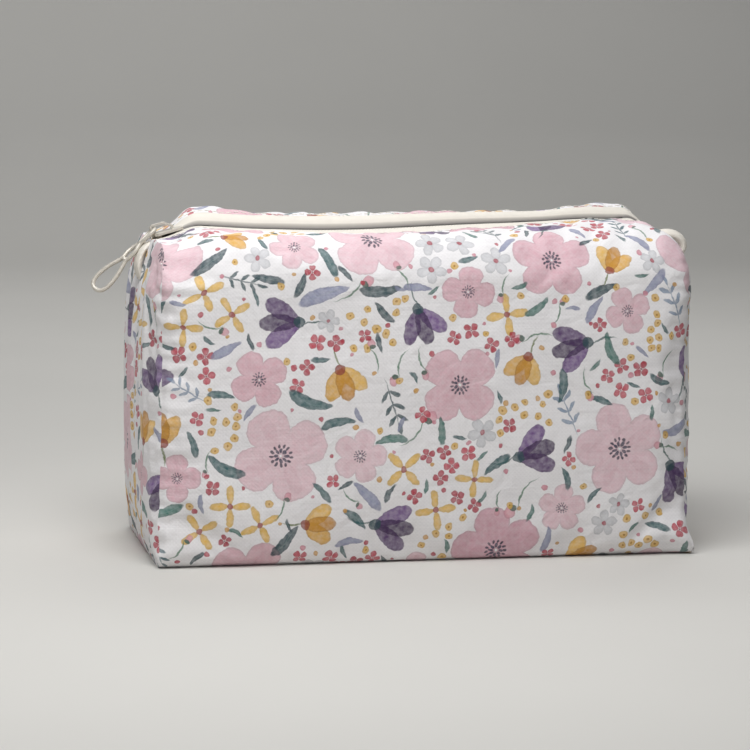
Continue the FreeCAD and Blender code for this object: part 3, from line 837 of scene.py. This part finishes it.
def row_tree(name, ring):
    """Geometry nodes that set coil turns, or stitches, at an even pitch along a line."""
    tree = bpy.data.node_groups.new(name, "GeometryNodeTree")
    tree.interface.new_socket("Geometry", in_out="OUTPUT", socket_type="NodeSocketGeometry")
    tree.interface.new_socket("Line", in_out="INPUT", socket_type="NodeSocketGeometry")
    for label in ("Pitch", "Width", "Height", "Thread"):
        socket = tree.interface.new_socket(label, in_out="INPUT", socket_type="NodeSocketFloat")
        socket.default_value = 0.001
    tree.interface.new_socket("Material", in_out="INPUT", socket_type="NodeSocketMaterial")
    given = node(tree, "NodeGroupInput")
    line = node(tree, "GeometryNodeMeshToCurve", {0: given.outputs["Line"]})
    spaced = node(tree, "GeometryNodeResampleCurve", {"Curve": line, "Length": given.outputs["Pitch"]},
                  mode="LENGTH")
    tangent = node(tree, "GeometryNodeInputTangent")
    turned = node(tree, "FunctionNodeAlignRotationToVector", {"Vector": tangent}, axis="Z")
    half = {}
    for label in ("Width", "Height", "Pitch"):
        half[label] = node(tree, "Math", {0: given.outputs[label], 1: 0.5}, operation="MULTIPLY")
    if ring:
        circle = node(tree, "GeometryNodeCurvePrimitiveCircle", {"Resolution": 9, "Radius": 1.0})
        size = node(tree, "CombineXYZ", {0: half["Height"], 1: half["Width"], 2: 1.0})
        shaped = node(tree, "GeometryNodeTransform", {"Geometry": circle, "Scale": size})
        thread = {"Resolution": 4, "Radius": given.outputs["Thread"]}
        profile = node(tree, "GeometryNodeCurvePrimitiveCircle", thread)
        one = node(tree, "GeometryNodeCurveToMesh", {"Curve": shaped, "Profile Curve": profile})
    else:
        ball = node(tree, "GeometryNodeMeshUVSphere", {"Segments": 6, "Rings": 5, "Radius": 1.0})
        run = node(tree, "Math", {0: given.outputs["Pitch"], 1: 0.41}, operation="MULTIPLY")
        size = node(tree, "CombineXYZ", {0: half["Height"], 1: half["Width"], 2: run})
        one = node(tree, "GeometryNodeTransform", {"Geometry": ball, "Scale": size})
    placed = node(tree, "GeometryNodeInstanceOnPoints",
                  {"Points": spaced, "Instance": one, "Rotation": turned})
    solid = node(tree, "GeometryNodeRealizeInstances", {0: placed})
    finished = node(tree, "GeometryNodeSetMaterial",
                    {"Geometry": solid, "Material": given.outputs["Material"]})
    node(tree, "NodeGroupOutput", {0: finished})
    return tree


def make_row(name, line, tree, material, **lengths):
    """One plain mesh of a tree's repeats along a line of points in mm."""
    path = new_mesh(name + "_line", line, [], [(i, i + 1) for i in range(len(line) - 1)])
    carrier = build_object(name + "_line", path)
    rule = carrier.modifiers.new("row", "NODES")
    rule.node_group = tree
    for label, value in lengths.items():
        rule[input_id(tree, label.capitalize())] = value
    rule[input_id(tree, "Material")] = material
    solved = carrier.evaluated_get(bpy.context.evaluated_depsgraph_get())
    mesh = bpy.data.meshes.new_from_object(solved)
    mesh.name = name
    bpy.data.objects.remove(carrier)
    if not len(mesh.polygons):
        raise RuntimeError(f"{name} came out empty")
    mesh.shade_smooth()
    return build_object(name, mesh)


# ---------------------------------------------------------------- the pieces

SHELL = {}


def shape_bag(context):
    """Works out the shell and its two ends once, settled as cloth, for the pieces cut from them."""
    if SHELL:
        return SHELL
    shell, cloth = make_shell(context.scene.bag_sizes)
    grids = [shell, make_end(shell, -1), make_end(shell, 1)]
    grids = settle_cloth(grids)
    shell, left, right = grids
    for end, column in ((left, 0), (right, -1)):
        edge = shell[:, column]
        end[0] = edge[END_FOOT:LAST_ROW - END_FOOT + 1]
        end[:, 0] = edge[END_FOOT:END_HEAD - 1:-1]
        end[:, -1] = edge[LAST_ROW - END_FOOT:LAST_ROW - END_HEAD + 1]
        end[-1, :END_HEAD] = edge[END_HEAD:0:-1]
        end[-1, END_HEAD + 1:] = edge[-2:LAST_ROW - END_HEAD - 1:-1]
    SHELL.update(shell=shell, cloth=cloth, normals=normals_of(shell), left=left, right=right,
                 marks=draw_print())
    return SHELL


# Where along the print each end panel is cut, in mm, and the height of an end panel's middle.
END_CUT = {"left": 400, "right": 655}
END_MIDDLE = 64
# Air between plies, the ends' extra inset inside the cotton, and how deep the top's lining lies, in mm.
PLY_GAP, INSET, TOP_LINING_DEPTH = 0.25, 1.5, 1.75
# Rows of the shell: both tops with their shoulders, and the walls with the base.
TOPS = {
    "front": slice(TOP_START, WALL_START + 1),
    "back": slice(LAST_ROW - WALL_START, LAST_ROW - TOP_START + 1),
}
WALLS = slice(WALL_START, LAST_ROW - WALL_START + 1)


def end_cloth(end, side):
    """Cloth coordinates of an end panel, cut from another part of the print."""
    return np.dstack((end[..., 1] * -SIDES[side] + END_CUT[side], end[..., 2]))


class BAG_OT_cotton_body(bpy.types.Operator):
    """Makes the printed front, base and back in one length of cotton, and the two end panels"""
    bl_idname = "bag.cotton_body"
    bl_label = "Printed body"

    def execute(self, context):
        bag = shape_bag(context)
        thickness = context.scene.bag_sizes.cloth / MM
        parts = [bag[part][WALLS] for part in ("shell", "normals", "cloth")]
        body = make_sheet("printed_main_panel", *parts, thickness, MATERIALS["cotton"], bag["marks"])
        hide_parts("outer_front_panel", "outer_back_panel", "outer_base_panel")
        pieces = [body]
        for side in SIDES:
            end = bag[side]
            piece = make_sheet(f"printed_{side}_end", end, normals_of(end), end_cloth(end, side), thickness,
                               MATERIALS["cotton"], bag["marks"])
            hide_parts(f"outer_{side}_end")
            pieces.append(piece)
        for piece in pieces:
            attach(piece, "bag_body")
        return {"FINISHED"}


class BAG_OT_cotton_top(bpy.types.Operator):
    """Makes the printed shoulders and top, in left and right halves"""
    bl_idname = "bag.cotton_top"
    bl_label = "Printed top"

    def execute(self, context):
        bag = shape_bag(context)
        thickness = context.scene.bag_sizes.cloth / MM
        for flap, rows in TOPS.items():
            parts = halves(bag["shell"][rows], (bag["normals"][rows], bag["cloth"][rows]))
            for side, (grid, normals, cloth) in parts:
                piece = make_sheet(f"printed_top_{flap}_{side}", grid, normals, cloth, thickness,
                                   MATERIALS["cotton"], bag["marks"])
                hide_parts(f"outer_top_{flap}", f"outer_{flap}_shoulder")
                bend_with_zip(piece, flap, side)
        return {"FINISHED"}


class BAG_OT_inside(bpy.types.Operator):
    """Makes the wadding and the plain cotton lining"""
    bl_idname = "bag.inside"
    bl_label = "Wadding and lining"

    def execute(self, context):
        bag = shape_bag(context)
        sizes = context.scene.bag_sizes
        outer = sizes.cloth / MM + PLY_GAP
        padding = sizes.wadding / MM
        layers = (("wadding", outer, padding), ("lining", outer + padding + PLY_GAP, LINING))
        length, half_depth = sizes.half_length / MM, sizes.half_depth / MM
        rows = slice(WALLS.start, WALLS.stop, 2)
        for kind, depth, thickness in layers:
            grid = bag["shell"][rows, ::2] - bag["normals"][rows, ::2] * depth
            inset = depth + INSET
            grid[..., 0] *= (length - inset) / length
            piece = make_sheet(f"{kind}_main", grid, normals_of(grid), bag["cloth"][rows, ::2], thickness,
                               MATERIALS[kind])
            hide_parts(f"{kind}_front", f"{kind}_back", f"{kind}_base")
            pieces = [piece]
            for side in SIDES:
                end = bag[side][::2, ::2].copy()
                cloth = end_cloth(end, side)
                end -= normals_of(end) * depth
                end[..., 1] *= (half_depth - inset) / half_depth
                end[..., 2] = END_MIDDLE + (end[..., 2] - END_MIDDLE) * (END_MIDDLE - inset) / END_MIDDLE
                piece = make_sheet(f"{kind}_{side}_end", end, normals_of(end), cloth, thickness,
                                   MATERIALS[kind])
                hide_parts(f"{kind}_{side}")
                pieces.append(piece)
            for piece in pieces:
                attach(piece, "bag_body")
        for flap, span in TOPS.items():
            grid = bag["shell"][span] - bag["normals"][span] * TOP_LINING_DEPTH
            for side, (part, normals, cloth) in halves(grid, (bag["normals"][span], bag["cloth"][span])):
                part = part[:, ::2] * (0.985, 1, 1)
                piece = make_sheet(f"lining_top_{flap}_{side}", part, normals[:, ::2], cloth[:, ::2], LINING,
                                   MATERIALS["lining"])
                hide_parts(f"lining_top_{flap}", f"lining_{flap}_shoulder")
                bend_with_zip(piece, flap, side)
        return {"FINISHED"}


# How far the tape stands above the cotton's level, going out from the zip's middle line.
# The back tape rises steeply out of the groove, so the groove shows as a fine dark line.
TAPE_ACROSS = (0.0, 0.7, 1.5, 3.0, 5.5, 7.4, 8.6)
TAPE_FRONT = (-1.6, -1.2, -0.8, -0.3, -0.1, -0.4, -0.95)
TAPE_BACK = (-1.6, -1.0, 0.1, 1.0, 1.15, 0.3, -0.95)


def tape_sheet(bag, flap, gap=0.35):
    """The tape's face: crowned beside the zip's middle line and running in under the cotton's edge."""
    span = slice(0, TAPE_ROWS + 8) if flap == "front" else slice(LAST_ROW, LAST_ROW - TAPE_ROWS - 8, -1)
    grid = finer(bag["shell"][span])
    normals = finer(bag["normals"][span])
    across = np.abs(grid[..., 1])
    profile = TAPE_FRONT if flap == "front" else TAPE_BACK
    calm = 1 - 0.55 * smooth((np.abs(grid[..., 0]) - 92) / 12) * (across < 7)
    grid = grid + normals * (np.interp(across, TAPE_ACROSS, profile) * calm)[..., None]
    grid[..., 1] = FLAPS[flap] * np.maximum(np.abs(grid[..., 1]), gap)
    return grid, np.dstack((grid[..., 0], grid[..., 1]))


class BAG_OT_zip(bpy.types.Operator):
    """Makes the zip's tapes, its two rows of coil turns and the stitches beside it"""
    bl_idname = "bag.zip"
    bl_label = "Zip"

    def execute(self, context):
        bag = shape_bag(context)
        sizes = context.scene.bag_sizes
        coil_tree = row_tree("coil_turns", True)
        stitch_tree = row_tree("stitches", False)
        middle = (bag["shell"][0] + bag["shell"][-1]) / 2
        for flap, way in FLAPS.items():
            grid, cloth = tape_sheet(bag, flap)
            edge = TOP_START + 1 if flap == "front" else LAST_ROW - TOP_START - 1
            seam = bag["shell"][edge] + bag["normals"][edge] * 0.15
            shift = 0 if flap == "front" else 0.7
            coil = middle + (shift, way * 1.35, -2.6)
            for side, (part, flat, sewn, turns) in halves(grid, (cloth, seam[None], coil[None])):
                tape = make_sheet(f"zip_tape_{flap}_{side}", part, normals_of(part), flat, TAPE_THICKNESS,
                                  MATERIALS["tape"])
                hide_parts(f"zip_tape_{flap}")
                kept = turns[0][np.abs(turns[0][:, 0]) < 105]
                teeth = make_row(f"zip_coil_{flap}_{side}", kept, coil_tree, MATERIALS["coil"],
                                 pitch=sizes.tooth_pitch, width=0.0026, height=0.0019, thread=0.00036)
                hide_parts(f"zip_coil_{flap}")
                line = sewn[0][np.abs(sewn[0][:, 0]) < 109]
                stitches = make_row(f"zip_stitches_{flap}_{side}", line, stitch_tree, MATERIALS["thread"],
                                    pitch=sizes.stitch_pitch, width=0.00045, height=0.0004, thread=0.0002)
                for piece in (tape, teeth, stitches):
                    bend_with_zip(piece, flap, side)
        return {"FINISHED"}


def lofted(name, spine, widths, heights, material, steps=20):
    """A soft closed lump: ellipses along a line of points in the middle plane, in mm."""
    spine = np.array(spine, float)
    along = np.gradient(spine, axis=0)
    along /= np.linalg.norm(along, axis=1, keepdims=True)
    rise = np.cross(along, (0, 1, 0))
    points = []
    for centre, up, wide, high in zip(spine, rise, widths, heights):
        for i in range(steps):
            angle = 2 * math.pi * i / steps
            points.append(centre + np.array((0, 1, 0)) * wide * math.cos(angle) + up * high * math.sin(angle))
    faces = []
    for ring in range(len(spine) - 1):
        for i in range(steps):
            j = (i + 1) % steps
            faces.append((ring * steps + i, ring * steps + j, (ring + 1) * steps + j, (ring + 1) * steps + i))
    faces.append(tuple(range(steps)))
    faces.append(tuple(range(len(points) - steps, len(points))))
    mesh = new_mesh(name, points, faces)
    with reshaped(mesh):
        pass
    mesh.shade_smooth()
    add_values(mesh, "cloth", "FLOAT_VECTOR", "POINT", np.array(points)[:, (1, 2, 0)])
    mesh.materials.append(material)
    made = build_object(name, mesh)
    finer_skin = made.modifiers.new("soften", "SUBSURF")
    finer_skin.levels = finer_skin.render_levels = 2
    return made


class BAG_OT_tabs(bpy.types.Operator):
    """Makes the folded tape ends at the two ends of the zip"""
    bl_idname = "bag.tabs"
    bl_label = "Zip ends"

    def execute(self, context):
        left = lofted("zip_tab_left", [(-112, 0, 133), (-115.5, 0, 130.5), (-117.8, 0, 126), (-118, 0, 120.5),
                                       (-116.6, 0, 116.5)],
                      (3.6, 5.4, 5.8, 5.2, 3.6), (1.0, 1.7, 1.9, 1.7, 0.9), MATERIALS["tape"])
        right = lofted("zip_tab_right", [(111.5, 0, 134.0), (117, 0, 135.8), (122.6, 0, 135.4),
                                         (126.4, 0, 132.0), (126.0, 0, 127.6), (121.6, 0, 125.6)],
                       (4.0, 5.6, 6.2, 6.3, 5.6, 3.8), (1.4, 2.5, 3.0, 3.0, 2.5, 1.4), MATERIALS["tape"])
        for side, tab in (("left", left), ("right", right)):
            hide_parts(f"zip_tab_{side}")
            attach(tab, "bag_body")
        return {"FINISHED"}


class BAG_OT_slider(bpy.types.Operator):
    """Makes the slider with softened edges, from its solid"""
    bl_idname = "bag.slider"
    bl_label = "Slider"

    def execute(self, context):
        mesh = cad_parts["slider_body"].data.copy()
        mesh.name = "slider"
        mesh.materials.clear()
        with reshaped(mesh) as shaped:
            bmesh.ops.remove_doubles(shaped, verts=shaped.verts, dist=0.02 * MM)
            bmesh.ops.dissolve_limit(shaped, angle_limit=math.radians(2), verts=shaped.verts,
                                     edges=shaped.edges)
        mesh.shade_smooth()
        mesh.materials.append(MATERIALS["enamel"])
        slider = build_object("slider", mesh)
        edges = slider.modifiers.new("soft_edges", "BEVEL")
        edges.width = 0.3 * MM
        edges.segments = 3
        edges.limit_method = "ANGLE"
        edges.harden_normals = True
        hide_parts("slider_body")
        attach(slider, "slider")
        return {"FINISHED"}


# The pull: its pivot in mm, its turn from level in degrees, half of its wire's line as distances along
# and out to one side in mm, and where its collars are.
PIVOT = (-110.670, 0, 138.504)
PULL_TURN = 135
WIRE = (
    (0, 1.5), (0.5, 2.5), (3.4, 2.8), (6.0, 2.3), (8.3, 0.85), (9.8, 1.2), (13, 2.2), (16, 1.7), (18.2, 0.9),
    (20.5, 1.6), (26, 3.3), (32.6, 3.8), (36.0, 2.0),
)
COLLARS = (8.3, 18.2)


def twist(along):
    """How far the loop is twisted about its length that far along, as such pulls are from use."""
    return -math.radians(58) * float(smooth((along - 7) / 14))


class BAG_OT_pull(bpy.types.Operator):
    """Makes the wire pull: an eye, a pinched neck and a long loop, with two collars"""
    bl_idname = "bag.pull"
    bl_label = "Pull"

    def execute(self, context):
        sizes = context.scene.bag_sizes
        droop = Matrix.Translation(Vector(PIVOT) * MM) @ Matrix.Rotation(math.radians(PULL_TURN), 4, "Y")
        line = [(s, w * math.cos(twist(s)), w * math.sin(twist(s))) for s, w in WIRE]
        line += [(s, -y, -z) for s, y, z in reversed(line)]
        curve = bpy.data.curves.new("pull", "CURVE")
        curve.dimensions = "3D"
        curve.bevel_depth = sizes.wire / 2
        curve.bevel_resolution = 5
        curve.use_fill_caps = True
        wire = curve.splines.new("NURBS")
        wire.points.add(len(line) - 1)
        for point, place in zip(wire.points, line):
            point.co = (*(Vector(place) * MM), 1)
        wire.order_u = 3
        wire.use_cyclic_u = True
        wire.resolution_u = 8
        carrier = build_object("pull_line", curve)
        mesh = bpy.data.meshes.new_from_object(carrier.evaluated_get(bpy.context.evaluated_depsgraph_get()))
        bpy.data.objects.remove(carrier)
        with reshaped(mesh) as shaped:
            for place in COLLARS:
                ring = bmesh.ops.create_cone(shaped, cap_ends=True, segments=24, radius1=1.15 * MM,
                                             radius2=1.15 * MM, depth=1.7 * MM)["verts"]
                bmesh.ops.scale(shaped, vec=(1, 1.55, 1), verts=ring)
                for angle, axis in ((math.radians(90), "Y"), (twist(place), "X")):
                    turned = Matrix.Rotation(angle, 3, axis)
                    bmesh.ops.rotate(shaped, cent=(0, 0, 0), matrix=turned, verts=ring)
                bmesh.ops.translate(shaped, vec=(place * MM, 0, 0), verts=ring)
            bmesh.ops.remove_doubles(shaped, verts=shaped.verts, dist=0.001 * MM)
            bmesh.ops.transform(shaped, matrix=droop, verts=shaped.verts)
        mesh.name = "pull"
        mesh.shade_smooth()
        mesh.materials.clear()
        mesh.materials.append(MATERIALS["enamel"])
        pull = build_object("pull", mesh)
        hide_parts("pull_loop")
        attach(pull, "pull")
        return {"FINISHED"}


# The floor's half width, and its side view from in front of the bag to behind it, in metres.
FLOOR_HALF = 6.0
FLOOR_LINE = ((-3.0, 0), (1.5, 0), (1.9, 0.12), (2.15, 0.5), (2.2, 3.0))
# Lamps: name, place and size in metres, power in watts, and what each is aimed at.
BAG_MIDDLE = (0, 0, 0.07)
LIGHTS = (
    ("key", (-0.15, -0.27, 0.56), 0.45, 3.1, BAG_MIDDLE),
    ("front", (0.5, -1.5, 1.0), 1.2, 0.2, BAG_MIDDLE),
    ("back", (0.2, 0.6, 0.9), 0.8, 3.0, BAG_MIDDLE),
    ("backdrop", (0, 1.0, 1.5), 1.2, 9.0, (0, 2.1, 0.5)),
)
# The camera: what it is aimed at and how far from it in metres, its turn, tilt and roll in degrees, its lens
# in mm, and its shifts.
AIM, DISTANCE = (0, 0, 0.067), 1.2
TURN, TILT, ROLL = -12.73, 7.42, 0.77
LENS, SHIFT_X, SHIFT_Y = 130.6, -0.0388, 0.0204


class BAG_OT_stage(bpy.types.Operator):
    """Makes the pale floor, the soft studio light and the camera"""
    bl_idname = "bag.stage"
    bl_label = "Stage"

    def execute(self, context):
        material, tree, shader = new_material("pale_studio_floor")
        place = node(tree, "TexCoord").outputs["Object"]
        grain = node(tree, "TexNoise", {"Vector": place, "Scale": 6.0, "Detail": 3.0})
        tone = node(tree, "MapRange", {"Value": grain, "To Min": 0.97, "To Max": 1.03})
        shade = node(tree, "VectorMath", {0: linear("#D2D0CB"), 1: tone}, operation="MULTIPLY")
        feed(tree, shader, {"Base Color": shade, "Roughness": 0.9})
        points = [(side * FLOOR_HALF, y, z) for y, z in FLOOR_LINE for side in (-1, 1)]
        faces = [(2 * i, 2 * i + 1, 2 * i + 3, 2 * i + 2) for i in range(len(FLOOR_LINE) - 1)]
        mesh = new_mesh("floor", np.array(points) / MM, faces)
        mesh.shade_smooth()
        mesh.materials.append(material)
        build_object("floor", mesh)
        for name, spot, size, power, target in LIGHTS:
            lamp = bpy.data.lights.new(name, "AREA")
            lamp.shape = "DISK"
            lamp.size = size
            lamp.energy = power
            lit = bpy.data.objects.new(name, lamp)
            context.scene.collection.objects.link(lit)
            lit.location = spot
            lit.rotation_euler = (Vector(target) - Vector(spot)).to_track_quat("-Z", "Y").to_euler()
        world = bpy.data.worlds.new("studio")
        world.use_nodes = True
        world.node_tree.nodes["Background"].inputs["Color"].default_value = (*linear("#EEF1F6"), 1)
        world.node_tree.nodes["Background"].inputs["Strength"].default_value = 0.19
        context.scene.world = world
        context.scene.view_settings.view_transform = "Standard"
        turn, tilt = math.radians(TURN), math.radians(TILT)
        back = Vector((math.sin(turn) * math.cos(tilt), -math.cos(turn) * math.cos(tilt), math.sin(tilt)))
        camera = bpy.data.cameras.new("camera")
        camera.sensor_width = 36
        camera.lens = LENS
        camera.shift_x, camera.shift_y = SHIFT_X, SHIFT_Y
        camera.clip_start, camera.clip_end = 0.05, 30
        eye = bpy.data.objects.new("camera", camera)
        context.scene.collection.objects.link(eye)
        facing = (-back).to_track_quat("-Z", "Y").to_matrix().to_4x4()
        roll = Matrix.Rotation(math.radians(ROLL), 4, "Z")
        eye.matrix_world = Matrix.Translation(Vector(AIM) + back * DISTANCE) @ facing @ roll
        context.scene.camera = eye
        return {"FINISHED"}


class BAG_PT_panel(bpy.types.Panel):
    """Lists the bag's sizes, colours and pieces in the 3D view's sidebar"""
    bl_idname = "BAG_PT_panel"
    bl_label = "Makeup Bag"
    bl_space_type = "VIEW_3D"
    bl_region_type = "UI"
    bl_category = "Makeup Bag"

    def draw(self, context):
        for group in (context.scene.bag_sizes, context.scene.bag_colours):
            for name in group.__annotations__:
                self.layout.prop(group, name)
        for operator in OPERATORS:
            self.layout.operator(operator.bl_idname)


OPERATORS = (BAG_OT_cotton_body, BAG_OT_cotton_top, BAG_OT_inside, BAG_OT_zip, BAG_OT_tabs, BAG_OT_slider,
             BAG_OT_pull, BAG_OT_stage)
CLASSES = (BagSizes, BagColours, *OPERATORS, BAG_PT_panel)


def register():
    for cls in CLASSES:
        bpy.utils.register_class(cls)
    bpy.types.Scene.bag_sizes = bpy.props.PointerProperty(type=BagSizes)
    bpy.types.Scene.bag_colours = bpy.props.PointerProperty(type=BagColours)


def unregister():
    del bpy.types.Scene.bag_colours
    del bpy.types.Scene.bag_sizes
    for cls in reversed(CLASSES):
        bpy.utils.unregister_class(cls)


def main():
    """Registers the add-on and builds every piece."""
    register()
    load_materials(bpy.context.scene.bag_colours)
    for operator in OPERATORS:
        group, name = operator.bl_idname.split(".")
        getattr(getattr(bpy.ops, group), name)()


if __name__ == "__main__":
    main()
